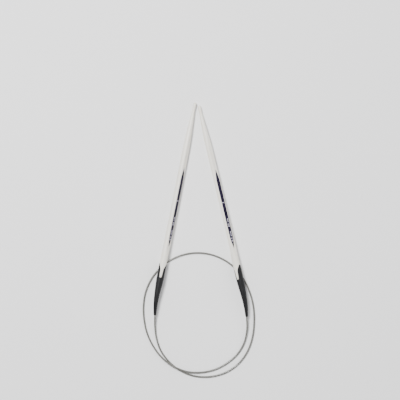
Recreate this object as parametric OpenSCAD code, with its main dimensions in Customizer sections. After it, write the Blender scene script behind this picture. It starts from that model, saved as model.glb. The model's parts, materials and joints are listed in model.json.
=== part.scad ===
// Circular knitting needle: two rigid needles with drop-shaped points and three-sided
// shafts, joined by one thin cord through a soft black sleeve on the back of each.
// It lies flat on a table, points up the table (+Y), with the cord in one and a half loops.
// All sizes are in millimetres. z = 0 is the table top.

/* [Needle] */
// Diameter of the shaft, which is the knitting size
shaft_d = 4.5; // [3.75:0.25:6]
// Length of one stiff needle, from its point to the back of its sleeve's stiff part
needle_l = 120; // [96:1:150]
// Length of the slim taper, from the point to the full shaft
taper_l = 34; // [24:1:42]
// Diameter of the drop-shaped point
point_d = 2.1; // [1.8:0.1:2.6]
// Diameter of the neck behind the point
neck_d = 1.85; // [1.5:0.05:2.1]
// Distance of the neck from the point
neck_s = 5; // [4:0.5:8]
// How much slimmer the shaft is behind the taper than at the sleeve, in diameter
body_slimmer = 0.2; // [0.1:0.05:0.4]
// How deep each of the three flats is cut into the round shaft
flat_depth = 0.45; // [0.2:0.05:0.55]

/* [Size strip] */
// Length of the dark strip along the shaft
strip_l = 50; // [30:1:54]
// Width of the strip
strip_w = 2.2; // [1.4:0.1:2.3]
// Thickness of the strip, which fills a recess of the same depth
strip_t = 0.15; // [0.1:0.05:0.3]
// Length of each of the strip's pointed ends
strip_point_l = 8; // [4:1:14]

/* [Sleeve] */
// Length of the sleeve's stiff part, from its prongs to its back
sleeve_l = 18.5; // [15:0.5:24]
// How far the sleeve's front edge stands out from the shaft
sleeve_step = 0.1; // [0.05:0.05:0.6]
// Diameter at the back of the stiff part
sleeve_back_d = 3.6; // [3.2:0.1:4.2]
// Length of the sleeve's even part, in front of where it narrows
sleeve_even_l = 10.5; // [9:0.5:13]
// Length of the flexible tail behind the stiff part
tail_l = 13.9; // [10:0.1:18]
// Diameter of the tail at its mouth, where the cord comes out
tail_mouth_d = 1.7; // [1.5:0.1:2.6]
// Length of the two shaft tongues that show between the sleeve's prongs
tongue_l = 9; // [7:0.5:11]
// Width of a tongue at its round end
tongue_end_w = 1.4; // [1:0.1:1.8]

/* [Inside the sleeve] */
// Diameter of the shaft's tang inside the sleeve
tang_d = 3; // [2.6:0.1:3.6]
// Length of the tang
tang_l = 12.4; // [11:0.2:14]
// Outer diameter of the ferrule crimped on the cord's end
ferrule_d = 2.1; // [1.8:0.1:2.2]
// Length of the ferrule
ferrule_l = 9; // [6:0.5:9.5]
// Gap left around a piece that sits in another
fit_gap = 0.03; // [0.01:0.01:0.06]

/* [Cord] */
// Diameter of the cord
cord_d = 1.1; // [0.9:0.1:1.3]

/* [Hidden] */
$fn = 64;

// The cord's route on the table, from the left tail's mouth to the right one's: down,
// once round and over the top behind both needles, and round the bottom again. It lies
// on the table, climbs to both mouths, and passes over itself in one long low hump.
cord_route = [
    [-28.4, -65.2, 3.1], [-28.4, -72, 1.7], [-27.5, -79.4, 0.8], [-24.9, -87.2, 0.6],
    [-20, -94, 0.6], [-13.4, -99.4, 0.6], [-5.6, -102.8, 0.6], [2.8, -103.8, 0.6],
    [11.2, -102.6, 0.6], [18.8, -99.2, 0.6], [25.2, -93.6, 0.6], [29.8, -86.2, 0.6],
    [32.3, -77.8, 0.6], [33.1, -69, 0.6], [32.6, -60.2, 0.6], [30.5, -51.7, 0.6],
    [26.9, -43.7, 0.6], [21.6, -36.7, 0.6], [14.7, -31.4, 0.6], [6.6, -28, 0.6],
    [-2, -26.9, 0.6], [-10.6, -28, 0.6], [-18.7, -31.4, 0.6], [-25.6, -36.7, 0.6],
    [-30.9, -43.6, 0.6], [-34.3, -51.7, 0.6], [-35.5, -60.3, 0.6], [-35, -69, 0.6],
    [-33, -77.4, 0.6], [-29.2, -85.2, 0.7], [-23.8, -92, 1.4], [-16.8, -97.2, 2],
    [-8.8, -100.4, 1.4], [-0.2, -101, 0.8], [8.2, -99.4, 0.6], [15.8, -95.6, 0.6],
    [22.4, -90, 0.6], [26.8, -82.8, 0.8], [28.6, -74.4, 1.7], [28.4, -66.1, 3.1]
];
cord_sides = 8;
rings_per_span = 2; // cord rings from one route point to the next
tail_sides = 16;
tail_spans = 6;     // lengths that a tail is swept in

// The two needles, as places in each list below.
LEFT = 0;
RIGHT = 1;
mouths = [cord_route[0], cord_route[len(cord_route) - 1]];
pointing = [78.75, 103.28];  // direction from sleeve to point, from +X towards +Y
tail_turn = [10, -10];       // how far each tail turns sideways towards its cord
tongue_roll = [0, -35];      // where the tongues face, from straight up towards +X
strip_roll = [48, 29];       // where each strip's flat faces, from straight up towards +X
tail_drop = 1.33;            // how much lower the mouth is than the stiff part's back
mouth_dip = 11;              // how steeply the cord leaves the mouth, downwards

shaft_r = shaft_d / 2;
point_r = point_d / 2;
neck_r = neck_d / 2;
sleeve_r = shaft_r + sleeve_step;            // at the prongs' tips
body_front_r = shaft_r - body_slimmer / 2;   // where the taper ends
mould_draft = 0.05;                          // the sleeve and tongues narrow by this towards their backs
tang_r = tang_d / 2;
cord_r = cord_d / 2;
ferrule_r = ferrule_d / 2;
flat_x = shaft_r - flat_depth;               // each flat's distance from the axis
taper_steps = 14;                            // straight lengths that the taper is turned in
neck_steps = 4;                              // and the neck
taper_swell = 0.62;                          // below 1 the taper gains most of its width early
flat_front_s = 8;                            // the flats start in the taper this far behind the point
strip_end_gap = 10.5;                        // bare shaft between the strip and the prongs
flat_run_out = 3;                            // length over which a flat fades at its back
flat_past_strip = 1;                         // the flats run on past the strip by this
strip_z = sleeve_l + strip_end_gap;          // the strip's back end, above the stiff part's back
flat_back_z = strip_z - flat_past_strip;     // behind this the flats fade out
round_z = flat_back_z - flat_run_out;        // and behind this the shaft is fully round
tongue_mid_s = 3.7;                          // a tongue's sides turn this far behind the prongs' tips
tongue_mid_step = 0.25;                      // and are this much further out there, on each side
overcut = 1;                                 // how far a cut goes past what it cuts
tang_z = sleeve_l - tang_l;
ferrule_inset = 0.1;                         // how far the ferrule's back sits inside the tang
socket_spare = 0.3;                          // free depth of the socket in front of the ferrule
ferrule_z = tang_z + ferrule_inset;
socket_l = ferrule_inset + ferrule_l + socket_spare;
cord_inset = 0.43;                           // how far the cord's end stays inside the ferrule
cord_end_l = ferrule_z + ferrule_l - cord_inset;
big = 100;                                   // longer than anything it cuts through

function unit(v) = v / norm(v);

// ---- where each needle lies ----
function tail_heading(i) = pointing[i] + tail_turn[i] / 2;
function back_point(i) = mouths[i] + [tail_l * cos(tail_heading(i)), tail_l * sin(tail_heading(i)), tail_drop];
// The steepest tilt that keeps the whole needle on or above the table: it rests on its shoulder.
function tilt(i) =
    let (back_z = back_point(i)[2])
    asin(min([for (p = needle_profile()) (back_z - p[0]) / (needle_l - p[1])]));
function axis_dir(i) = [cos(pointing[i]) * cos(tilt(i)), sin(pointing[i]) * cos(tilt(i)), -sin(tilt(i))];
function mouth_dir(i) =
    let (a = pointing[i] + tail_turn[i])
    [-cos(a) * cos(mouth_dip), -sin(a) * cos(mouth_dip), -sin(mouth_dip)];

// Stands a piece drawn along +Z, from the stiff part's back (z = 0) to the point
// (z = needle_l), in its needle's place.
module at_needle(i) {
    translate(back_point(i))
        rotate([0, 0, pointing[i]])
            rotate([0, tilt(i) + 90, 0])
                children();
}

// Turns what is drawn on the +X side so that it faces up, rolled by the angle towards +X of the table.
module facing(roll) {
    rotate([0, 0, 180 + roll])
        children();
}

// ---- the needle ----
// Radius at the distance s behind the point: a round nose, a neck and a long slim taper.
// Behind the taper the shaft still widens a little, up to its round part at the sleeve.
function nose_r(s) = point_r * sqrt(1 - pow(1 - s / point_r, 2));
function neck_blend_r(s) =
    let (t = (s - point_d) / (neck_s - point_d))
    neck_r + (point_r - neck_r) * (1 + cos(180 * t)) / 2;
function taper_r(s) =
    let (t = (s - neck_s) / (taper_l - neck_s))
    neck_r + (body_front_r - neck_r) * (1 - cos(180 * pow(t, taper_swell))) / 2;
function needle_profile() = concat(
    [[0, 0]],
    [for (a = [15:15:90]) [nose_r(point_r * (1 - cos(a))), point_r * (1 - cos(a))]],
    [[point_r, point_d]],
    [for (k = [1:neck_steps]) let (s = point_d + (neck_s - point_d) * k / neck_steps) [neck_blend_r(s), s]],
    [for (k = [1:taper_steps]) let (s = neck_s + (taper_l - neck_s) * k / taper_steps) [taper_r(s), s]],
    [[shaft_r, needle_l - round_z]]
);

// The round needle with no flats, and with its back end at the prongs' tips.
module round_needle() {
    rotate_extrude()
        polygon(concat(
            [for (p = needle_profile()) [p[0], needle_l - p[1]]],
            [[shaft_r, sleeve_l], [0, sleeve_l]]
        ));
}

// What one flat cuts away: straight towards the point, and fading out towards the sleeve.
module flat_cut() {
    rotate([90, 0, 0])
        linear_extrude(height = big, center = true)
            polygon([
                [flat_x, flat_back_z], [flat_x, needle_l - flat_front_s],
                [big, needle_l - flat_front_s], [big, round_z], [shaft_r, round_z]
            ]);
}

// The strip's outline, lying across Y and along Z, wider by the gap all round.
module strip_outline(gap) {
    half = strip_w / 2 + gap;
    low = strip_z - gap;
    high = strip_z + strip_l + gap;
    steps = [0:15:90];
    polygon(concat(
        [for (a = steps) [half * sin(a), low + strip_point_l * a / 90]],
        [for (a = steps) [half * cos(a), high - strip_point_l * (1 - a / 90)]],
        [for (a = [15:15:90]) [-half * sin(a), high - strip_point_l * a / 90]],
        [for (a = [0:15:75]) [-half * cos(a), low + strip_point_l * (1 - a / 90)]]
    ));
}

module strip_block(i, gap, from_x, to_x) {
    facing(strip_roll[i])
        translate([from_x, 0, 0])
            rotate([90, 0, 90])
                linear_extrude(height = to_x - from_x)
                    strip_outline(gap);
}

// The outline of a tongue: it narrows from the prongs' tips to its round end.
module tongue_outline(gap) {
    end_r = tongue_end_w / 2 - gap;
    end_y = sleeve_l - tongue_l + tongue_end_w / 2;
    mid_x = end_r + tongue_mid_step;
    mid_y = sleeve_l - tongue_mid_s;
    wide_x = sleeve_r + mould_draft - gap;
    polygon([
        [-end_r, end_y], [end_r, end_y], [mid_x, mid_y],
        [wide_x, sleeve_l], [wide_x, sleeve_l + overcut],
        [-wide_x, sleeve_l + overcut], [-wide_x, sleeve_l], [-mid_x, mid_y]
    ]);
    translate([0, end_y])
        circle(end_r);
}

// The tongues' prism, through the needle from top to bottom.
module tongue_prism(i, gap) {
    facing(tongue_roll[i])
        rotate([90, 0, 90])
            linear_extrude(height = big, center = true)
                tongue_outline(gap);
}

module needle(i) {
    color("ivory")
        at_needle(i)
            difference() {
                union() {
                    round_needle();
                    intersection() {
                        translate([0, 0, sleeve_l - tongue_l - overcut])
                            cylinder(r1 = shaft_r - mould_draft, r2 = shaft_r, h = tongue_l + overcut);
                        tongue_prism(i, fit_gap);
                    }
                    translate([0, 0, tang_z])
                        cylinder(r = tang_r, h = tang_l);
                }
                for (k = [0:2])
                    facing(strip_roll[i] + 120 * k)
                        flat_cut();
                strip_block(i, fit_gap, flat_x - strip_t - fit_gap, flat_x + strip_t);
                translate([0, 0, tang_z - overcut])
                    cylinder(r = ferrule_r + fit_gap, h = overcut + socket_l);
            }
}

module size_strip(i) {
    color("midnightblue")
        at_needle(i)
            strip_block(i, 0, flat_x - strip_t, flat_x);
}

// ---- the sleeve and what it holds ----
module sleeve(i) {
    color("black")
        at_needle(i)
            difference() {
                rotate_extrude()
                    polygon([
                        [cord_r + fit_gap, 0],
                        [sleeve_back_d / 2, 0],
                        [sleeve_r - mould_draft, sleeve_l - sleeve_even_l],
                        [sleeve_r, sleeve_l],
                        [cord_r + fit_gap, sleeve_l]
                    ]);
                translate([0, 0, tang_z - fit_gap])
                    cylinder(r = tang_r + fit_gap, h = tang_l + overcut);
                tongue_prism(i, 0);
            }
}

module ferrule(i) {
    color("goldenrod")
        at_needle(i)
            translate([0, 0, ferrule_z])
                difference() {
                    cylinder(r = ferrule_r, h = ferrule_l);
                    translate([0, 0, -overcut])
                        cylinder(r = cord_r + fit_gap, h = ferrule_l + 2 * overcut);
                }
}

module cord_end(i) {
    color("gray")
        at_needle(i)
            cylinder(r = cord_r, h = cord_end_l);
}

// ---- swept pieces ----
// A point of the tail's centre line, from the stiff part's back (t = 0) to the mouth (t = 1).
function tail_point(i, t) =
    let (
        a = back_point(i),
        d = mouths[i],
        b = a - axis_dir(i) * tail_l / 3,
        c = d - mouth_dir(i) * tail_l / 3
    )
    a * pow(1 - t, 3) + 3 * b * t * pow(1 - t, 2) + 3 * c * t * t * (1 - t) + d * pow(t, 3);
function tail_path(i) = [for (k = [0:tail_spans]) tail_point(i, k / tail_spans)];

// A smooth curve through the route's points, as Catmull-Rom spans.
function route_at(p, k) =
    k < 0 ? 2 * p[0] - p[1] :
    k >= len(p) ? 2 * p[len(p) - 1] - p[len(p) - 2] : p[k];
function span_point(p, k, t) =
    let (a = route_at(p, k - 1), b = route_at(p, k), c = route_at(p, k + 1), d = route_at(p, k + 2))
    (2 * b + (c - a) * t + (2 * a - 5 * b + 4 * c - d) * t * t + (3 * b - a - 3 * c + d) * t * t * t) / 2;
function smooth_route(p) = [
    for (k = [0:len(p) - 2]) for (j = [0:rings_per_span - 1]) span_point(p, k, j / rings_per_span),
    p[len(p) - 1]
];

// The direction of a path at its point k.
function path_dir(p, k) = unit(p[min(k + 1, len(p) - 1)] - p[max(k - 1, 0)]);
function ring(centre, dir, radius, sides) =
    let (side = unit(cross(dir, [0, 0, 1])), up = cross(side, dir))
    [for (j = [0:sides - 1]) centre + radius * (cos(360 * j / sides) * side + sin(360 * j / sides) * up)];

// A closed tube along a path: a flat cap, the walls and a flat cap.
module swept_tube(path, dirs, radii, sides) {
    last = len(path) - 1;
    points = [for (k = [0:last]) each ring(path[k], dirs[k], radii[k], sides)];
    walls = [
        for (k = [0:last - 1]) for (j = [0:sides - 1])
            let (n = (j + 1) % sides)
            each [
                [k * sides + j, k * sides + n, (k + 1) * sides + n],
                [k * sides + j, (k + 1) * sides + n, (k + 1) * sides + j]
            ]
    ];
    caps = [
        [for (j = [sides - 1:-1:0]) j],
        [for (j = [0:sides - 1]) last * sides + j]
    ];
    polyhedron(points = points, faces = concat(walls, caps));
}

function tail_dirs(i) = [
    for (k = [0:tail_spans])
        k == 0 ? -axis_dir(i) : k == tail_spans ? mouth_dir(i) : path_dir(tail_path(i), k)
];

// The tail is a pipe: outer walls, a bore for the cord and two flat rings at its ends.
module sleeve_tail(i) {
    sides = tail_sides;
    path = tail_path(i);
    dirs = tail_dirs(i);
    outer = [for (k = [0:tail_spans]) (sleeve_back_d + (tail_mouth_d - sleeve_back_d) * k / tail_spans) / 2];
    bore = cord_r + 2 * fit_gap;
    inside = (tail_spans + 1) * sides; // number of the first point of the bore
    points = concat(
        [for (k = [0:tail_spans]) each ring(path[k], dirs[k], outer[k], sides)],
        [for (k = [0:tail_spans]) each ring(path[k], dirs[k], bore, sides)]
    );
    walls = [
        for (k = [0:tail_spans - 1]) for (j = [0:sides - 1])
            let (a = k * sides + j, b = k * sides + (j + 1) % sides)
            each [
                [a, b, b + sides], [a, b + sides, a + sides],
                [inside + b, inside + a, inside + a + sides], [inside + b, inside + a + sides, inside + b + sides]
            ]
    ];
    ends = [
        for (j = [0:sides - 1])
            let (a = j, b = (j + 1) % sides, c = tail_spans * sides)
            each [
                [b, a, inside + a], [b, inside + a, inside + b],
                [c + a, c + b, inside + c + b], [c + a, inside + c + b, inside + c + a]
            ]
    ];
    color("black")
        polyhedron(points = points, faces = concat(walls, ends));
}

// The one cord, from the back of one sleeve's stiff part to the other's.
module cord() {
    left_tail = tail_path(LEFT);
    right_tail = tail_path(RIGHT);
    run = smooth_route(cord_route);
    path = concat(
        [for (k = [0:tail_spans - 1]) left_tail[k]],
        run,
        [for (k = [tail_spans - 1:-1:0]) right_tail[k]]
    );
    last = len(path) - 1;
    dirs = [
        for (k = [0:last])
            k < tail_spans ? tail_dirs(LEFT)[k] :
            k > last - tail_spans ? -tail_dirs(RIGHT)[last - k] : path_dir(path, k)
    ];
    color("darkgray")
        swept_tube(path, dirs, [for (k = [0:last]) cord_r], cord_sides);
}

module left_needle() { needle(LEFT); }
module left_size_strip() { size_strip(LEFT); }
module left_sleeve() { sleeve(LEFT); }
module left_ferrule() { ferrule(LEFT); }
module left_cord_end() { cord_end(LEFT); }
module left_sleeve_tail() { sleeve_tail(LEFT); }
module right_needle() { needle(RIGHT); }
module right_size_strip() { size_strip(RIGHT); }
module right_sleeve() { sleeve(RIGHT); }
module right_ferrule() { ferrule(RIGHT); }
module right_cord_end() { cord_end(RIGHT); }
module right_sleeve_tail() { sleeve_tail(RIGHT); }

left_needle();
left_size_strip();
left_sleeve();
left_ferrule();
left_cord_end();
left_sleeve_tail();
right_needle();
right_size_strip();
right_sleeve();
right_ferrule();
right_cord_end();
right_sleeve_tail();
cord();
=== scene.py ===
# %% [markdown]
# # A circular knitting needle
# Two short needles share one thin cord, so a knitter can work round and round. This notebook
# builds its looks in Blender around a finished CAD frame. Each step first says what the piece
# is, then makes it. All lengths are in metres, because that is Blender's own unit.

# %% Load the frame
import json
import math

import bmesh
import bpy
from mathutils import Matrix, Vector


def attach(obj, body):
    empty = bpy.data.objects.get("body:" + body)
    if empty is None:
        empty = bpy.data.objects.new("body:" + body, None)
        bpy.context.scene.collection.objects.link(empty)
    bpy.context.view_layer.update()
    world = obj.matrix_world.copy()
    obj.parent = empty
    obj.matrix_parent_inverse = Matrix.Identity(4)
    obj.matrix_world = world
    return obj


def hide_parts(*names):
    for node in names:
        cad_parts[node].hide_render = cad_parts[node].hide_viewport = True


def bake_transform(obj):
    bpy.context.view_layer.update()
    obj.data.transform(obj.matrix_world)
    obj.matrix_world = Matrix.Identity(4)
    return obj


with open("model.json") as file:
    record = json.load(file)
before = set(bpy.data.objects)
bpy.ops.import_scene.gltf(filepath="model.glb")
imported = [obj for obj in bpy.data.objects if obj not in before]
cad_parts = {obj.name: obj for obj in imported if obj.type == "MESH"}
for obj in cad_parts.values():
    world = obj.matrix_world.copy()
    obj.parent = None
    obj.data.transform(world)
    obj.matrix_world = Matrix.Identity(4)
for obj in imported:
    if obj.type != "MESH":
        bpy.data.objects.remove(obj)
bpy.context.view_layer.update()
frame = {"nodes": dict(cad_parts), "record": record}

MM = 0.001

# %% [markdown]
# ## The camera
# A catalogue picture of a flat tool is taken from straight above and from far away, so that
# nothing leans. A long lens high over the table does the same. The camera comes first: it
# says how much of the long cord can be seen.

# %% Place the camera
VIEW_WIDTH = 248 * MM
CAMERA_HEIGHT = 1.6
CAMERA_AIM = Vector((-0.5 * MM, 5.9 * MM, 0))

bpy.ops.object.camera_add(location=CAMERA_AIM + Vector((0, 0, CAMERA_HEIGHT)), rotation=(0, 0, 0))
camera = bpy.context.object
camera.data.lens = camera.data.sensor_width * CAMERA_HEIGHT / VIEW_WIDTH
camera.data.clip_end = 10
bpy.context.scene.camera = camera
print("camera lens in mm:", round(camera.data.lens))

# %% [markdown]
# ## Work on one object at a time
# Blender's tools act on whatever is selected, and loading the frame leaves the CAD pieces
# selected. So every step first deselects all and picks its own object. These short helpers
# do that, and they also clean a mesh up once its shape is done.

# %% Helpers that pick and clean


def only(obj):
    """Selects this object alone and makes it the active one."""
    if bpy.context.object and bpy.context.object.mode != "OBJECT":
        bpy.ops.object.mode_set(mode="OBJECT")
    bpy.ops.object.select_all(action="DESELECT")
    obj.select_set(True)
    bpy.context.view_layer.objects.active = obj
    return obj


def edit(obj):
    only(obj)
    bpy.ops.object.mode_set(mode="EDIT")
    bpy.ops.mesh.select_mode(type="VERT")
    return obj


def object_mode():
    bpy.ops.object.mode_set(mode="OBJECT")


def face_outwards(obj):
    """In edit mode, joins doubled points and turns every face to point outwards."""
    bpy.ops.mesh.select_all(action="SELECT")
    bpy.ops.mesh.remove_doubles(threshold=1e-6)
    bpy.ops.mesh.normals_make_consistent(inside=False)
    return obj


print("helpers ready:", only.__name__, edit.__name__, object_mode.__name__, face_outwards.__name__)

# %% [markdown]
# ## The cord's route
# The cord is one springy strand. It leaves the left sleeve, runs one and a half times round
# on the table and goes into the right sleeve. Its points are the design's own, and a
# Catmull-Rom curve joins them: it passes through every point, so the strand lies exactly
# where the CAD cord does. It rises to both sleeves and in one long low hump over itself.

# %% The route's points
CORD_D = 1.1 * MM
CORD_ROUTE = [
    Vector(p) * MM for p in [
        (-28.4, -65.2, 3.1), (-28.4, -72, 1.7), (-27.5, -79.4, 0.8), (-24.9, -87.2, 0.6),
        (-20, -94, 0.6), (-13.4, -99.4, 0.6), (-5.6, -102.8, 0.6), (2.8, -103.8, 0.6),
        (11.2, -102.6, 0.6), (18.8, -99.2, 0.6), (25.2, -93.6, 0.6), (29.8, -86.2, 0.6),
        (32.3, -77.8, 0.6), (33.1, -69, 0.6), (32.6, -60.2, 0.6), (30.5, -51.7, 0.6),
        (26.9, -43.7, 0.6), (21.6, -36.7, 0.6), (14.7, -31.4, 0.6), (6.6, -28, 0.6),
        (-2, -26.9, 0.6), (-10.6, -28, 0.6), (-18.7, -31.4, 0.6), (-25.6, -36.7, 0.6),
        (-30.9, -43.6, 0.6), (-34.3, -51.7, 0.6), (-35.5, -60.3, 0.6), (-35, -69, 0.6),
        (-33, -77.4, 0.6), (-29.2, -85.2, 0.7), (-23.8, -92, 1.4), (-16.8, -97.2, 2),
        (-8.8, -100.4, 1.4), (-0.2, -101, 0.8), (8.2, -99.4, 0.6), (15.8, -95.6, 0.6),
        (22.4, -90, 0.6), (26.8, -82.8, 0.8), (28.6, -74.4, 1.7), (28.4, -66.1, 3.1),
    ]
]


def catmull_rom(points, steps):
    """Points along a smooth curve through the given points, so many for each span."""
    ends = [2 * points[0] - points[1], *points, 2 * points[-1] - points[-2]]
    out = []
    for a, b, c, d in zip(ends, ends[1:], ends[2:], ends[3:]):
        for k in range(steps):
            t = k / steps
            bend = (2 * a - 5 * b + 4 * c - d) * t * t + (3 * b - a - 3 * c + d) * t**3
            out.append((2 * b + (c - a) * t + bend) / 2)
    return out + [points[-1]]


def length_of(points):
    return sum((b - a).length for a, b in zip(points, points[1:]))


cord_line = catmull_rom(CORD_ROUTE, 8)
cord_length = length_of(cord_line)
print("cord length in mm:", round(cord_length / MM, 1))

# %% [markdown]
# ## The cord
# The cord is a solid strand of clear grey plastic. A curve through the route's points is
# given a round section and made a mesh. Making it from a curve also gives it a UV map that
# runs along its length, and its finish uses that map. It starts 2 mm inside each sleeve.

# %% Make the cord
CORD_TUCK = 2 * MM
MOUTH = {"left": CORD_ROUTE[0], "right": CORD_ROUTE[-1]}
MOUTH_HEADING = {"left": 88.75, "right": 93.28}
MOUTH_DIP = 11


def leaving(side):
    """The direction in which the cord leaves a sleeve's mouth: backwards and a little down."""
    heading, dip = math.radians(MOUTH_HEADING[side]), math.radians(MOUTH_DIP)
    return Vector((
        -math.cos(heading) * math.cos(dip), -math.sin(heading) * math.cos(dip), -math.sin(dip)))


def tuck(side):
    return MOUTH[side] - leaving(side) * CORD_TUCK


cord_path = [tuck("left"), *cord_line, tuck("right")]
curve = bpy.data.curves.new("cord_strand", "CURVE")
curve.dimensions = "3D"
curve.bevel_depth = CORD_D / 2
curve.bevel_resolution = 6
curve.use_fill_caps = True
spline = curve.splines.new("POLY")
spline.points.add(len(cord_path) - 1)
for spline_point, place in zip(spline.points, cord_path):
    spline_point.co = (*place, 1)
cord = bpy.data.objects.new("cord_strand", curve)
bpy.context.collection.objects.link(cord)
only(cord)
bpy.ops.object.convert(target="MESH")
cord = bpy.context.object
edit(cord)
face_outwards(cord)
object_mode()
bpy.ops.object.shade_smooth_by_angle(angle=math.radians(50))
print("cord:", len(cord.data.polygons), "faces, UV maps:", [u.name for u in cord.data.uv_layers])

# %% [markdown]
# ## Where the two needles lie
# The frame's record says where each point is and which way it faces. A needle is modelled
# once, standing on the origin along Z, and copies of it are then laid in place. The matrix
# below does that: its third column is the needle's own direction.

# %% Needle places
NEEDLE_L = 120 * MM
mounts = {m["name"]: m for m in frame["record"]["mounts"]}


def needle_matrix(side):
    point = Vector(mounts[side + "_point"]["pos_m"])
    along = Vector(mounts[side + "_point"]["axis"]).normalized()
    across = Vector((-along.y, along.x, 0)).normalized()
    facing = Matrix((across.cross(along), across, along)).transposed().to_4x4()
    return Matrix.Translation(point - along * NEEDLE_L) @ facing


SIDES = ("left", "right")
PLACE = {side: needle_matrix(side) for side in SIDES}


def apply_place(obj):
    """Moves an object's place and turn into its mesh, and leaves the object at the origin."""
    only(obj)
    bpy.ops.object.transform_apply(location=True, rotation=True, scale=True)
    return obj


def lay_down(obj, side, roll=0.0):
    """Lays a piece that stands on the origin in its needle's place, rolled on its own axis."""
    obj.matrix_world = PLACE[side] @ Matrix.Rotation(math.radians(180 + roll), 4, "Z")
    return apply_place(obj)


print("needle backs in mm:", [[round(x / MM, 1) for x in PLACE[s].translation] for s in SIDES])

# %% [markdown]
# ## Pick points by where they are
# In edit mode a modeller drags a box round some points. A script can do it more exactly: it
# tests each point's place. What is picked is then moved, scaled or turned. The turning tool
# counts its angle clockwise, so a helper flips the sign once, here.

# %% Helpers that pick points and turn them


def pick_points(obj, test):
    """In edit mode, selects the points whose place passes the test, and counts them."""
    mesh = bmesh.from_edit_mesh(obj.data)
    for v in mesh.verts:
        v.select = False
    for v in mesh.verts:
        v.select = bool(test(v.co))
    mesh.select_flush(True)
    mesh.select_flush(False)
    bmesh.update_edit_mesh(obj.data)
    return sum(v.select for v in mesh.verts)


def turn(angle, axis, centre=(0, 0, 0)):
    """Turns what is selected by the right-hand rule. The tool itself counts the other way."""
    bpy.ops.transform.rotate(value=-angle, orient_axis=axis, center_override=centre)


print("helpers ready:", pick_points.__name__, turn.__name__)

# %% [markdown]
# ## Round bodies from rings
# The needle and the sleeve are both round. Each starts as one circle, which is extruded and
# scaled from station to station, much as a lathe's tool follows the outline of a shaft.

# %% Helpers for round bodies


def grow_rings(stations):
    """From the selected ring at the first (height, radius), extrudes to each of the others."""
    height, radius = stations[0]
    for next_height, next_radius in stations[1:]:
        bpy.ops.mesh.extrude_region_move(
            TRANSFORM_OT_translate={"value": (0, 0, next_height - height)})
        share = next_radius / radius
        bpy.ops.transform.resize(value=(share, share, 1), center_override=(0, 0, next_height))
        height, radius = next_height, next_radius


def lathe(name, stations, sides):
    """A round body: one circle, grown along Z from station to station. Its ends stay open."""
    bpy.ops.object.select_all(action="DESELECT")
    bpy.ops.mesh.primitive_circle_add(
        vertices=sides, radius=stations[0][1], location=(0, 0, stations[0][0]))
    obj = apply_place(bpy.context.object)
    obj.name = obj.data.name = name
    edit(obj)
    bpy.ops.mesh.select_all(action="SELECT")
    grow_rings(stations)
    return obj


def close_end(obj, height):
    """In edit mode, closes the ring at this height with a fan of faces to its middle."""
    pick_points(obj, lambda co: abs(co.z - height) < 1e-6)
    bpy.ops.mesh.extrude_region_move()
    bpy.ops.mesh.merge(type="CENTER")


print("helpers ready:", grow_rings.__name__, lathe.__name__, close_end.__name__)

# %% [markdown]
# ## The needle
# The real needle is moulded in a stiff cream plastic. Its point is a small drop with a neck
# behind it, which catches the stitch. Then comes a long slim taper, and a shaft with three
# flats for the fingers. The shape is a circle that is extruded ring by ring, as on a lathe,
# and the flats are pressed into the rings afterwards, because a round start keeps the
# surface smooth where the flats fade out.

# %% The needle's outline
SHAFT_R = 2.25 * MM
BODY_FRONT_R = 2.15 * MM
ROUND_Z = 25 * MM
POINT_R = 1.05 * MM
NECK_R = 0.925 * MM
NECK_S = 5 * MM
TAPER_L = 34 * MM
SLEEVE_L = 18.5 * MM
TONGUE_L = 9 * MM
TANG_R = 1.5 * MM
TANG_BACK_Z = 6.1 * MM
SOCKET_R = 1.08 * MM
SOCKET_END_Z = 15.5 * MM


def blend_radius(start, end, share):
    """From one radius to the other along a smooth step."""
    return start + (end - start) * (1 - math.cos(math.pi * share)) / 2


def needle_radius(s):
    """The radius at the distance s behind the point."""
    if s < POINT_R:
        return POINT_R * math.sqrt(1 - (1 - s / POINT_R) ** 2)
    if s < 2 * POINT_R:
        return POINT_R
    if s < NECK_S:
        return blend_radius(POINT_R, NECK_R, (s - 2 * POINT_R) / (NECK_S - 2 * POINT_R))
    if s < TAPER_L:
        return blend_radius(NECK_R, BODY_FRONT_R, ((s - NECK_S) / (TAPER_L - NECK_S)) ** 0.62)
    body = (s - TAPER_L) / (NEEDLE_L - ROUND_Z - TAPER_L)
    return BODY_FRONT_R + (SHAFT_R - BODY_FRONT_R) * min(1, body)


nose = [POINT_R * (1 - math.cos(math.radians(a))) for a in range(12, 91, 13)]
neck = [2 * POINT_R + (NECK_S - 2 * POINT_R) * k / 6 for k in range(7)]
taper = [NECK_S + (TAPER_L - NECK_S) * k / 24 for k in range(1, 25)]
shaft_end = NEEDLE_L - SLEEVE_L + TONGUE_L
shaft = [TAPER_L + (shaft_end - TAPER_L) * k / 50 for k in range(1, 51)]
stations = [(NEEDLE_L - s, needle_radius(s)) for s in nose + neck + taper + shaft]
inside = [
    (stations[-1][0], TANG_R), (TANG_BACK_Z, TANG_R),
    (TANG_BACK_Z, SOCKET_R), (SOCKET_END_Z, SOCKET_R),
]
needle = lathe("needle_form", stations + inside, 96)
close_end(needle, stations[0][0])
close_end(needle, SOCKET_END_Z)
face_outwards(needle)
object_mode()
print("round needle:", len(needle.data.polygons), "faces")

# %% [markdown]
# ### Three flats
# To flatten a side by hand, a modeller selects the points that stand out past a plane and
# scales them to nothing across it. The same is done here, ring by ring: the plane's distance
# is constant along the grip and moves outwards near the sleeve, so each flat fades away.

# %% Press the flats in
FLAT_X = 1.8 * MM
FLAT_BACK_Z = 28 * MM
FLAT_FADE_L = 3.5 * MM
FLAT_FRONT_S = 8 * MM
SMOOTHED_FROM_Z = SLEEVE_L + 2 * MM


def flat_distance(height):
    fade = min(1, max(0, (FLAT_BACK_Z - height) / FLAT_FADE_L))
    return blend_radius(FLAT_X, SHAFT_R, fade)


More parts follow.
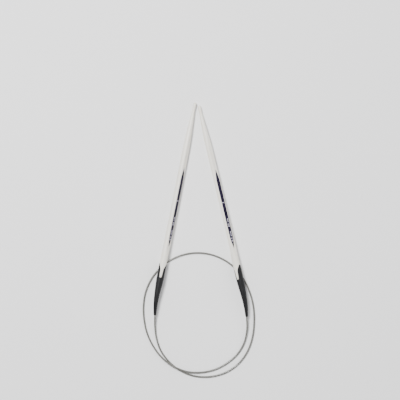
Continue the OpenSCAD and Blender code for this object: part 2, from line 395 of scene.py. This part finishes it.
edit(needle)
for flat in range(3):
    moved = 0
    for height, radius in stations:
        plane = flat_distance(height)
        if radius <= plane or height > NEEDLE_L - FLAT_FRONT_S:
            continue
        moved += pick_points(
            needle, lambda co: abs(co.z - height) < 1e-6 and co.x > plane)
        bpy.ops.transform.resize(value=(0, 1, 1), center_override=(plane, 0, height))
    bpy.ops.mesh.select_all(action="SELECT")
    turn(math.radians(120), "Z")
    print("flat", flat + 1, "moved", moved, "points")
pick_points(needle, lambda co: SMOOTHED_FROM_Z < co.z < NEEDLE_L - 1.1 * FLAT_FRONT_S)
bpy.ops.mesh.vertices_smooth(factor=0.5, repeat=3)
object_mode()
bpy.ops.object.shade_smooth()

# %% [markdown]
# ## The size strip
# Along one flat of each needle a dark strip carries the size, so a knitter can read it at a
# glance. It is a thin foil with pointed ends. A flat grid is narrowed row by row towards
# both ends, given a thickness, and its rim is bevelled so that light finds the edge.

# %% Model the strip
STRIP_BACK_Z = 29 * MM
STRIP_L = 50 * MM
STRIP_W = 2.2 * MM
STRIP_POINT_L = 8 * MM
STRIP_DEPTH = 0.1 * MM
STRIP_PROUD = 0.03 * MM
STRIP_RIM = 0.025 * MM


def apply_modifiers(obj):
    only(obj)
    for name in [m.name for m in obj.modifiers]:
        bpy.ops.object.modifier_apply(modifier=name)
    return obj


def strip_half_width(height):
    """Half of the strip's width at a height: full in the middle, round to a point at the ends."""
    from_end = min(height - STRIP_BACK_Z, STRIP_BACK_Z + STRIP_L - height)
    if from_end >= STRIP_POINT_L:
        return STRIP_W / 2
    return STRIP_W / 2 * math.sin(math.pi / 2 * max(0, from_end) / STRIP_POINT_L)


bpy.ops.object.select_all(action="DESELECT")
bpy.ops.mesh.primitive_grid_add(x_subdivisions=4, y_subdivisions=100, size=1)
strip = bpy.context.object
strip.name = strip.data.name = "strip_form"
edit(strip)
bpy.ops.mesh.select_all(action="SELECT")
bpy.ops.transform.resize(value=(STRIP_W, STRIP_L, 1), center_override=(0, 0, 0))
turn(math.radians(90), "X")
bpy.ops.transform.translate(value=(0, 0, STRIP_BACK_Z + STRIP_L / 2))
rows = sorted({round(v.co.z, 7) for v in bmesh.from_edit_mesh(strip.data).verts})
for height in rows:
    pick_points(strip, lambda co: abs(co.z - height) < 1e-6)
    share = max(0.02, strip_half_width(height) / (STRIP_W / 2))
    bpy.ops.transform.resize(value=(share, 1, 1), center_override=(0, 0, height))
bpy.ops.mesh.select_all(action="SELECT")
turn(math.radians(90), "Z")
bpy.ops.transform.translate(value=(FLAT_X - STRIP_DEPTH, 0, 0))
bpy.ops.mesh.extrude_region_move(
    TRANSFORM_OT_translate={"value": (STRIP_DEPTH + STRIP_PROUD, 0, 0)})
face_outwards(strip)
object_mode()
rim = strip.modifiers.new("rim", "BEVEL")
rim.width = STRIP_RIM
rim.segments = 2
rim.limit_method = "ANGLE"
apply_modifiers(strip)
bpy.ops.object.shade_smooth_by_angle(angle=math.radians(40))
print("strip:", len(strip.data.polygons), "faces")

# %% [markdown]
# ## The numerals on the strip
# Pale numerals are printed on the strip: the shaft's diameter, the whole length and the
# matching size number. Text starts as a curve. It is made a mesh before it is turned and
# placed, because a placed text curve would carry its turn into its outline.

# %% Print the numerals
PRINT_CAP_H = 1.35 * MM
CAP_SHARE = 0.7
PRINT_THICK = 0.012 * MM
PRINTS = (("4.5 mm", 33.2), ("60 cm", 42.6), ("7", 57.5))


def numeral(text, z):
    """A line of text on the strip's face, read along the needle towards its point."""
    bpy.ops.object.select_all(action="DESELECT")
    bpy.ops.object.text_add()
    obj = bpy.context.object
    obj.data.body = text
    obj.data.size = PRINT_CAP_H / CAP_SHARE
    obj.data.space_character = 1.15
    obj.data.resolution_u = 3
    obj.data.extrude = PRINT_THICK / 2
    bpy.ops.object.convert(target="MESH")
    obj = bpy.context.object
    edit(obj)
    bpy.ops.mesh.select_all(action="SELECT")
    bpy.ops.transform.translate(value=(0, -PRINT_CAP_H / 2, PRINT_THICK / 2))
    turn(math.radians(90), "Y")
    turn(math.radians(180), "X")
    bpy.ops.transform.translate(value=(FLAT_X + STRIP_PROUD, 0, z * MM))
    face_outwards(obj)
    object_mode()
    return obj


lines = [numeral(text, z) for text, z in PRINTS]
bpy.ops.object.select_all(action="DESELECT")
for obj in lines:
    obj.select_set(True)
bpy.context.view_layer.objects.active = lines[0]
bpy.ops.object.join()
print_form = bpy.context.object
print_form.name = print_form.data.name = "print_form"
corners = (print_form.bound_box[0], print_form.bound_box[6])
print("numerals' box in mm:", [[round(x / MM, 2) for x in corner] for corner in corners])

# %% [markdown]
# ## The sleeve
# A soft black sleeve grips each shaft and carries on as a thin tail, so the cord bends
# gently where it leaves. Tail and sleeve are one moulding, made here as one skin: rings
# from the prongs back to the mouth, and back again inside. A tongue of the shaft shows
# between the two prongs on the top and on the underside. The front rings are moved back
# where the tongues are, which draws the notch without cutting any face.

# %% The sleeve's numbers
SLEEVE_R = 2.35 * MM
SLEEVE_DRAFT = 0.05 * MM
SLEEVE_BACK_R = 1.8 * MM
SLEEVE_EVEN_Z = 8 * MM
MOUTH_R = 0.85 * MM
BORE_R = 0.6 * MM
TONGUE_END_R = 0.7 * MM
TONGUE_MID_S = 3.7 * MM
TONGUE_MID_X = 0.95 * MM
TAIL_L = 13.9 * MM
TONGUE_ROLL = {"left": 0, "right": -35}
STRIP_ROLL = {"left": 48, "right": 29}


def tongue_depth(across):
    """How far behind the prongs' tips the notch reaches, at this distance from its middle."""
    across = abs(across)
    if across < TONGUE_END_R:
        round_part = math.sqrt(TONGUE_END_R**2 - across**2)
        return TONGUE_L - TONGUE_END_R + round_part
    if across < TONGUE_MID_X:
        share = (across - TONGUE_END_R) / (TONGUE_MID_X - TONGUE_END_R)
        return TONGUE_L - TONGUE_END_R + (TONGUE_MID_S - TONGUE_L + TONGUE_END_R) * share
    share = (across - TONGUE_MID_X) / (SLEEVE_R - TONGUE_MID_X)
    return TONGUE_MID_S * (1 - min(1, share))


depths = [round(tongue_depth(x * MM) / MM, 1) for x in (0, 1, 2)]
print("notch depth in mm at 0, 1 and 2 mm:", depths)

# %% [markdown]
# ### The stiff part and its notch
# The rings run from the back over the outside to the prongs, and return inside. Then every
# column of points in front of the notch's floor is squeezed towards that floor, by as much
# as the notch is deep there. Columns that mirror one another are squeezed together.

# %% Model the stiff part of the sleeve
SLEEVE_SIDES = 128
NOTCH_LOW_Z = 9.2 * MM
FIT_GAP = 0.03 * MM
PRONG_LIP_L = 0.08 * MM
PRONG_RIM_R = (2.325 * MM, 2.295 * MM)
PRONG_INNER_R = 2.27 * MM


def sleeve_outer(z):
    if z < SLEEVE_EVEN_Z:
        return SLEEVE_BACK_R + (SLEEVE_R - SLEEVE_DRAFT - SLEEVE_BACK_R) * z / SLEEVE_EVEN_Z
    return SLEEVE_R - SLEEVE_DRAFT * (SLEEVE_L - z) / (SLEEVE_L - SLEEVE_EVEN_Z)


back_rings = [SLEEVE_EVEN_Z * k / 8 for k in range(9)]
front_rings = [NOTCH_LOW_Z + (SLEEVE_L - PRONG_LIP_L - NOTCH_LOW_Z) * k / 12 for k in range(13)]
sleeve_stations = [(z, sleeve_outer(z)) for z in back_rings + front_rings]
sleeve_stations += [(SLEEVE_L, radius) for radius in PRONG_RIM_R]
sleeve_stations += [(z, PRONG_INNER_R) for z in reversed(front_rings)]
sleeve_stations += [
    (NOTCH_LOW_Z, TANG_R + FIT_GAP), (TANG_BACK_Z - FIT_GAP, TANG_R + FIT_GAP),
    (TANG_BACK_Z - FIT_GAP, BORE_R), (0, BORE_R),
]
sleeve = lathe("sleeve_form", sleeve_stations, SLEEVE_SIDES)
angles = [2 * math.pi * k / SLEEVE_SIDES for k in range(SLEEVE_SIDES)]
columns = sorted({round(abs(math.sin(angle)), 6) for angle in angles})
for sine in columns:
    depth = tongue_depth(sine * SLEEVE_R)
    share = (SLEEVE_L - depth - NOTCH_LOW_Z) / (SLEEVE_L - NOTCH_LOW_Z)
    pick_points(
        sleeve,
        lambda co: co.z > NOTCH_LOW_Z + 1e-5
        and abs(abs(co.y) / math.hypot(co.x, co.y) - sine) < 1e-4,
    )
    bpy.ops.transform.resize(value=(1, 1, share), center_override=(0, 0, NOTCH_LOW_Z))
object_mode()
print("sleeve:", len(sleeve.data.polygons), "faces,", len(columns), "columns squeezed")

# %% [markdown]
# ### The flexible tail
# The tail follows a gentle curve from the sleeve's back down to the mouth. The open back
# rings are extruded step by step along that curve. Each step turns the ring a little and
# makes it a little smaller, and the wall and the bore are joined at the mouth.

# %% Grow the tails
TAIL_STEPS = 20


def tail_curve(side):
    """Points and directions along the tail, from the stiff part's back to the mouth."""
    start = PLACE[side].translation
    along = -(PLACE[side].to_3x3() @ Vector((0, 0, 1)))
    before_mouth = MOUTH[side] - leaving(side) * TAIL_L / 3
    corners = (start, start + along * TAIL_L / 3, before_mouth, MOUTH[side])
    points, headings = [], []
    for k in range(TAIL_STEPS + 1):
        t = k / TAIL_STEPS
        shares = ((1 - t) ** 3, 3 * t * (1 - t) ** 2, 3 * t * t * (1 - t), t**3)
        slopes = (-(1 - t) ** 2, (1 - t) ** 2 - 2 * t * (1 - t), 2 * t * (1 - t) - t * t, t * t)
        points.append(sum((c * w for c, w in zip(corners, shares)), Vector()))
        headings.append(sum((c * w for c, w in zip(corners, slopes)), Vector()).normalized())
    return points, headings


def grow_tail(side, radii):
    """Extrudes the selected ring along the tail, turning it by each small change of heading."""
    points, headings = tail_curve(side)
    for k in range(1, len(points)):
        bpy.ops.mesh.extrude_region_move(
            TRANSFORM_OT_translate={"value": tuple(points[k] - points[k - 1])})
        change = headings[k - 1].cross(headings[k])
        for axis, angle in zip("XYZ", change):
            turn(angle, axis, points[k])
        share = radii[k] / radii[k - 1]
        bpy.ops.transform.resize(value=(share, share, share), center_override=points[k])


print("left tail length in mm:", round(length_of(tail_curve("left")[0]) / MM, 2))

# %% [markdown]
# ### One skin for sleeve and tail
# Each side gets its own copy of the stiff part, laid in place. Its outer back ring grows
# into the tail's wall and its inner one into the bore. At the mouth the two are bridged.

# %% Join sleeves and tails


def copy_of(obj, name):
    only(obj)
    bpy.ops.object.duplicate()
    twin = bpy.context.object
    twin.name = twin.data.name = name
    return twin


sleeves = {}
for side in SIDES:
    piece = copy_of(sleeve, side + "_sleeve_skin")
    last_ring = len(piece.data.vertices) - SLEEVE_SIDES
    lay_down(piece, side, TONGUE_ROLL[side])
    edit(piece)
    for start, first_r, last_r in ((0, SLEEVE_BACK_R, MOUTH_R), (last_ring, BORE_R, BORE_R)):
        mesh = bmesh.from_edit_mesh(piece.data)
        for v in mesh.verts:
            v.select = start <= v.index < start + SLEEVE_SIDES
        mesh.select_flush(True)
        mesh.select_flush(False)
        bmesh.update_edit_mesh(piece.data)
        shares = [k / TAIL_STEPS for k in range(TAIL_STEPS + 1)]
        grow_tail(side, [first_r + (last_r - first_r) * share for share in shares])
    mouth = MOUTH[side]
    picked = pick_points(piece, lambda co: (co - mouth).length < MOUTH_R * 1.01)
    bpy.ops.mesh.bridge_edge_loops()
    face_outwards(piece)
    object_mode()
    bpy.ops.object.shade_smooth_by_angle(angle=math.radians(35))
    sleeves[side] = piece
    print(side, "sleeve:", len(piece.data.polygons), "faces,", picked, "points at the mouth")

# %% [markdown]
# ## Two of everything
# The needle, strip and numerals were modelled once. Each side gets its own copy, laid in
# its place, and the standing forms are deleted.

# %% Lay the pieces down
pieces = {"cord": cord}
for side in SIDES:
    for form, name in ((needle, "needle"), (strip, "strip"), (print_form, "numerals")):
        twin = copy_of(form, side + "_" + name + "_piece")
        pieces[twin.name] = lay_down(twin, side, STRIP_ROLL[side])
    pieces[sleeves[side].name] = sleeves[side]
bpy.ops.object.select_all(action="DESELECT")
for form in (needle, strip, print_form, sleeve):
    form.select_set(True)
bpy.ops.object.delete()
print("pieces:", sorted(pieces))

# %% [markdown]
# ## A small language for shaders
# Node trees are easier to read as sums. This class wraps one output socket, so that `a + b`
# or `2 * a` adds a Math node, and `do` adds any other node.

# %% The socket class


class S:
    """A shader socket that can be calculated with."""

    def __init__(self, tree, socket):
        self.tree, self.socket = tree, socket

    def do(self, kind, inputs=(), out=0, **settings):
        """Adds a node, sets it up, links its inputs by name or number, and gives one output."""
        node = self.tree.nodes.new(kind)
        for key, value in settings.items():
            setattr(node, key, value)
        for key, value in dict(inputs).items():
            plug = node.inputs[key]
            if isinstance(value, S):
                self.tree.links.new(value.socket, plug)
            else:
                plug.default_value = value
        return S(self.tree, node.outputs[out])

    def maths(self, operation, *values):
        return self.do("ShaderNodeMath", dict(enumerate(values)), operation=operation)

    def __add__(self, other):
        return self.maths("ADD", self, other)

    def __radd__(self, other):
        return self.maths("ADD", other, self)

    def __mul__(self, other):
        return self.maths("MULTIPLY", self, other)

    def __rmul__(self, other):
        return self.maths("MULTIPLY", other, self)

    def scaled(self, x, y, z):
        """A vector stretched by three factors."""
        return self.do("ShaderNodeVectorMath", {0: self, 1: (x, y, z)}, operation="MULTIPLY")

    def noise(self, scale, detail=4.0, roughness=0.5):
        return self.do(
            "ShaderNodeTexNoise",
            {"Vector": self, "Scale": scale, "Detail": detail, "Roughness": roughness})

    def between(self, low, high, to_low=0.0, to_high=1.0):
        """Maps the span low..high onto another span, and stays inside it."""
        return self.do("ShaderNodeMapRange", {
            "Value": self, "From Min": low, "From Max": high, "To Min": to_low, "To Max": to_high})


def mix(share, first, second):
    """A colour between two others. The share picks which."""
    return share.do("ShaderNodeMix", {0: share, 6: first, 7: second}, out=2, data_type="RGBA")


print("helpers ready:", S.__name__, mix.__name__)

# %% [markdown]
# ## Finishes
# Every finish is worked out from the object's own coordinates or from the cord's UV map, so
# it stays on the piece when the needle swings. A finish starts from a Principled shader.
# What varies is linked to it, and what is constant is set on it directly.

# %% Start a material


def material(name):
    """A new node material: its Principled shader, and object coordinates to work from."""
    made = bpy.data.materials.new(name)
    made.use_nodes = True
    tree = made.node_tree
    shader = next(n for n in tree.nodes if n.type == "BSDF_PRINCIPLED")
    place = S(tree, tree.nodes.new("ShaderNodeTexCoord").outputs["Object"])
    return made, shader, place


def feed(shader, **plugs):
    """Links values to the shader's sockets. Underscores in a name stand for spaces."""
    for key, value in plugs.items():
        value.tree.links.new(value.socket, shader.inputs[key.replace("_", " ")])


def bump(height, strength, distance):
    return height.do(
        "ShaderNodeBump", {"Height": height, "Strength": strength, "Distance": distance},
        out="Normal")


def finish_with(made, *objs):
    for obj in objs:
        obj.data.materials.clear()
        obj.data.materials.append(made)
    print(made.name, "->", [o.name for o in objs], len(made.node_tree.nodes), "nodes")


print("helpers ready:", material.__name__, feed.__name__, bump.__name__, finish_with.__name__)

# %% [markdown]
# ### Cream plastic
# The needles are a dense nylon-like plastic. It is warm white and satin, and a little light
# goes into it, so its shaded sides look soft. Handling polishes it unevenly: fine scuffs
# run round and along the shaft, and dust makes a faint cloudiness.

# %% Cream plastic for the needles
cream, shader, place = material("cream_plastic")
cloud = place.noise(180.0, 3.0)
mottle = place.noise(1400.0, 2.0)
wear = (0.7 * cloud + 0.3 * mottle).between(0.3, 0.7)
feed(shader, Base_Color=mix(wear, (0.755, 0.725, 0.655, 1), (0.815, 0.785, 0.715, 1)))
scuffs = place.scaled(1.0, 0.22, 1.0).noise(5200.0, 5.0, 0.62)
feed(shader, Roughness=scuffs.between(0.3, 0.75, 0.30, 0.46))
feed(shader, Normal=bump(0.6 * scuffs + 0.4 * cloud, 0.10, 0.00004))
shader.inputs["Subsurface Weight"].default_value = 0.12
shader.inputs["Subsurface Radius"].default_value = (1.0, 0.8, 0.55)
shader.inputs["Subsurface Scale"].default_value = 0.0008
shader.inputs["IOR"].default_value = 1.5
finish_with(cream, *(pieces[side + "_needle_piece"] for side in SIDES))

# %% [markdown]
# ### The strip's foil and its print
# The strip is a very dark violet foil with a satin coat. The numerals on it are a pale
# lavender ink, thin enough that the foil shows through a little where it is worn.

# %% Foil and ink
foil, shader, place = material("strip_foil")
grain = place.noise(2600.0, 4.0)
blotch = place.noise(260.0, 2.0)
feed(shader, Base_Color=mix(
    blotch.between(0.35, 0.65), (0.005, 0.003, 0.014, 1), (0.010, 0.006, 0.024, 1)))
feed(shader, Roughness=(0.5 * grain + 0.5 * blotch).between(0.3, 0.7, 0.30, 0.48))
feed(shader, Normal=bump(grain, 0.08, 0.00002))
shader.inputs["Specular IOR Level"].default_value = 0.15
finish_with(foil, *(pieces[side + "_strip_piece"] for side in SIDES))

ink, shader, place = material("strip_ink")
worn = place.noise(3200.0, 5.0).between(0.28, 0.5)
feed(shader, Base_Color=mix(worn, (0.34, 0.30, 0.44, 1), (0.74, 0.71, 0.84, 1)))
feed(shader, Roughness=worn.between(0.0, 1.0, 0.6, 0.42))
finish_with(ink, *(pieces[side + "_numerals_piece"] for side in SIDES))

# %% [markdown]
# ### Black rubbery plastic
# The sleeves are a soft black moulding with a fine matt texture. Handling rubs it smoother
# in places, so its roughness wanders, and fine bumps spread the highlight along the tail.

# %% Black plastic for the sleeves
black, shader, place = material("black_soft_plastic")
texture = place.noise(4200.0, 4.0, 0.6)
rubbed = place.noise(220.0, 3.0)
feed(shader, Base_Color=mix(
    rubbed.between(0.3, 0.7), (0.005, 0.005, 0.006, 1), (0.010, 0.010, 0.011, 1)))
feed(shader, Roughness=(0.35 * texture + 0.65 * rubbed).between(0.3, 0.7, 0.34, 0.55))
feed(shader, Normal=bump(texture, 0.16, 0.00003))
shader.inputs["Specular IOR Level"].default_value = 0.22
finish_with(black, *(sleeves[side] for side in SIDES))

# %% [markdown]
# ### Smoke-grey cord
# The cord is a clear plastic with a little grey in it. Extrusion leaves faint streaks along
# its length, so the pattern is stretched far along the UV map's first direction. Part of
# the light goes through, which is why it looks dark on its edges and bright in its middle.

# %% Smoke-grey plastic for the cord


def cord_material(name, from_uv):
    made, shader, place = material(name)
    if from_uv:
        length_wise = S(place.tree, place.tree.nodes.new("ShaderNodeUVMap").outputs["UV"])
        place = length_wise.scaled(cord_length, math.pi * CORD_D, 1.0)
        streaks = place.scaled(0.02, 1.0, 1.0).noise(6000.0, 3.0)
    else:
        streaks = place.noise(3000.0, 3.0)
    haze = place.noise(90.0, 2.0)
    feed(shader, Base_Color=mix(
        (0.6 * streaks + 0.4 * haze).between(0.35, 0.65),
        (0.15, 0.147, 0.132, 1), (0.22, 0.216, 0.197, 1)))
    feed(shader, Roughness=streaks.between(0.3, 0.7, 0.16, 0.28))
    feed(shader, Normal=bump(streaks, 0.05, 0.00002))
    shader.inputs["Transmission Weight"].default_value = 0.35
    shader.inputs["IOR"].default_value = 1.5
    return made


finish_with(cord_material("smoke_cord", True), cord)
finish_with(
    cord_material("smoke_cord_end", False), *(frame["nodes"][s + "_cord_end"] for s in SIDES))

# %% [markdown]
# ### Brass
# Inside each sleeve a short brass ferrule holds the cord's end. It is hidden, but a cut
# model would show it, so it gets a drawn brass with fine lines round it.

# %% Brass for the ferrules
brass, shader, place = material("drawn_brass")
lines_round = place.scaled(0.2, 1.0, 0.2).noise(9000.0, 3.0)
feed(shader, Base_Color=mix(
    lines_round.between(0.3, 0.7), (0.60, 0.42, 0.16, 1), (0.72, 0.53, 0.24, 1)))
feed(shader, Roughness=lines_round.between(0.3, 0.7, 0.22, 0.4))
shader.inputs["Metallic"].default_value = 1.0
finish_with(brass, *(frame["nodes"][s + "_ferrule"] for s in SIDES))

# %% [markdown]
# ## Hook the pieces to the frame
# The needle, strip and numerals of each side ride that needle's CAD body, and the cord rides its
# own.
# Each stands for the CAD nodes it covers. A sleeve crosses its joint: its stiff part follows the
# needle and its mouth stays with the cord. Here it rides neither: it keeps its resting place and
# stands for the CAD sleeve and tail.

# %% Ride and replace
for side in SIDES:
    body = side + "_needle"
    for part, node in (("needle", "needle"), ("strip", "size_strip"), ("numerals", None)):
        obj = pieces[f"{side}_{part}_piece"]
        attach(obj, body)
        if node:
            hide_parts(f"{side}_{node}")
    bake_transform(sleeves[side])
    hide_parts(side + "_sleeve", side + "_sleeve_tail")

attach(cord, "cord_loop")
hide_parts("cord")
length_of(cord_path)

# %% [markdown]
# ## Floor and light
# The needle lies on a plain pale table. The main soft light hangs almost overhead, a little
# to the left, so the round shafts darken towards their edges and can be read against the
# pale table. A weak one fills from the right, and shadows stay soft and close.

# %% Floor
bpy.ops.object.select_all(action="DESELECT")
bpy.ops.mesh.primitive_plane_add(size=8, location=(0, 0, 0))
floor = bpy.context.object
floor.name = "floor"
made, shader, place = material("pale_table")
shade = place.noise(7.0, 2.0)
feed(shader, Base_Color=mix(shade, (0.84, 0.84, 0.845, 1), (0.87, 0.87, 0.875, 1)))
feed(shader, Roughness=shade.between(0.3, 0.7, 0.7, 0.8))
finish_with(made, floor)

# %% [markdown]
# ### Two soft lights and a bright room
# Large lamps give soft shadows, and an even white room fills them. Each lamp is turned to
# face the middle of the table.

# %% Lights


def soft_light(name, location, size, power):
    """A square lamp that looks at the middle of the table."""
    bpy.ops.object.select_all(action="DESELECT")
    bpy.ops.object.light_add(type="AREA", location=location)
    lamp = bpy.context.object
    lamp.name = name
    lamp.data.size = size
    lamp.data.energy = power
    lamp.rotation_euler = (-Vector(location)).to_track_quat("-Z", "Y").to_euler()
    return lamp


soft_light("key_light", (-0.3, 0.35, 0.9), 0.3, 19.0)
soft_light("fill_light", (0.9, -0.2, 0.6), 0.8, 4.0)
world = bpy.data.worlds.new("studio")
bpy.context.scene.world = world
world.use_nodes = True
sky = next(n for n in world.node_tree.nodes if n.type == "BACKGROUND")
sky.inputs["Color"].default_value = (1, 1, 1, 1)
sky.inputs["Strength"].default_value = 0.55
